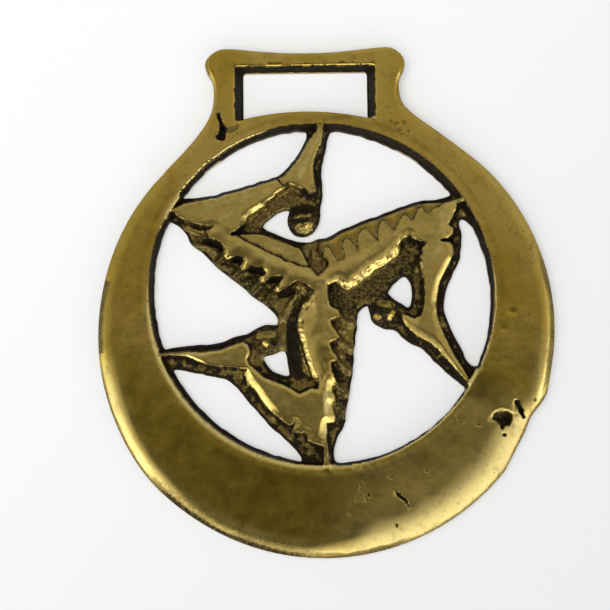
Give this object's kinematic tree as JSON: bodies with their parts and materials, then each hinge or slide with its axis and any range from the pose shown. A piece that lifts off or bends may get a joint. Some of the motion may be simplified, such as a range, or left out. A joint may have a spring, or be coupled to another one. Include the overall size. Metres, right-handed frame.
{
  "type": "horse brass",
  "caption": "Cast brass harness ornament: a pierced round plate with bent armoured legs joined at the thighs inside a ring, and a strap slot at the top.",
  "frame": {"origin": "middle of the brass's outline, on its flat back", "axes": "+Z out of the decorated face, +Y towards the strap slot, +X to the right when the face is looked at with the slot on top"},
  "size_m": [0.0752, 0.0854, 0.003],
  "materials": {
    "brass": "hand-polished face worn smooth, with dark tarnish in the recesses and rough casting skin on the cut-out walls"
  },
  "bodies": {
    "root": {"brass_casting": "brass"}
  },
  "joints": []
}
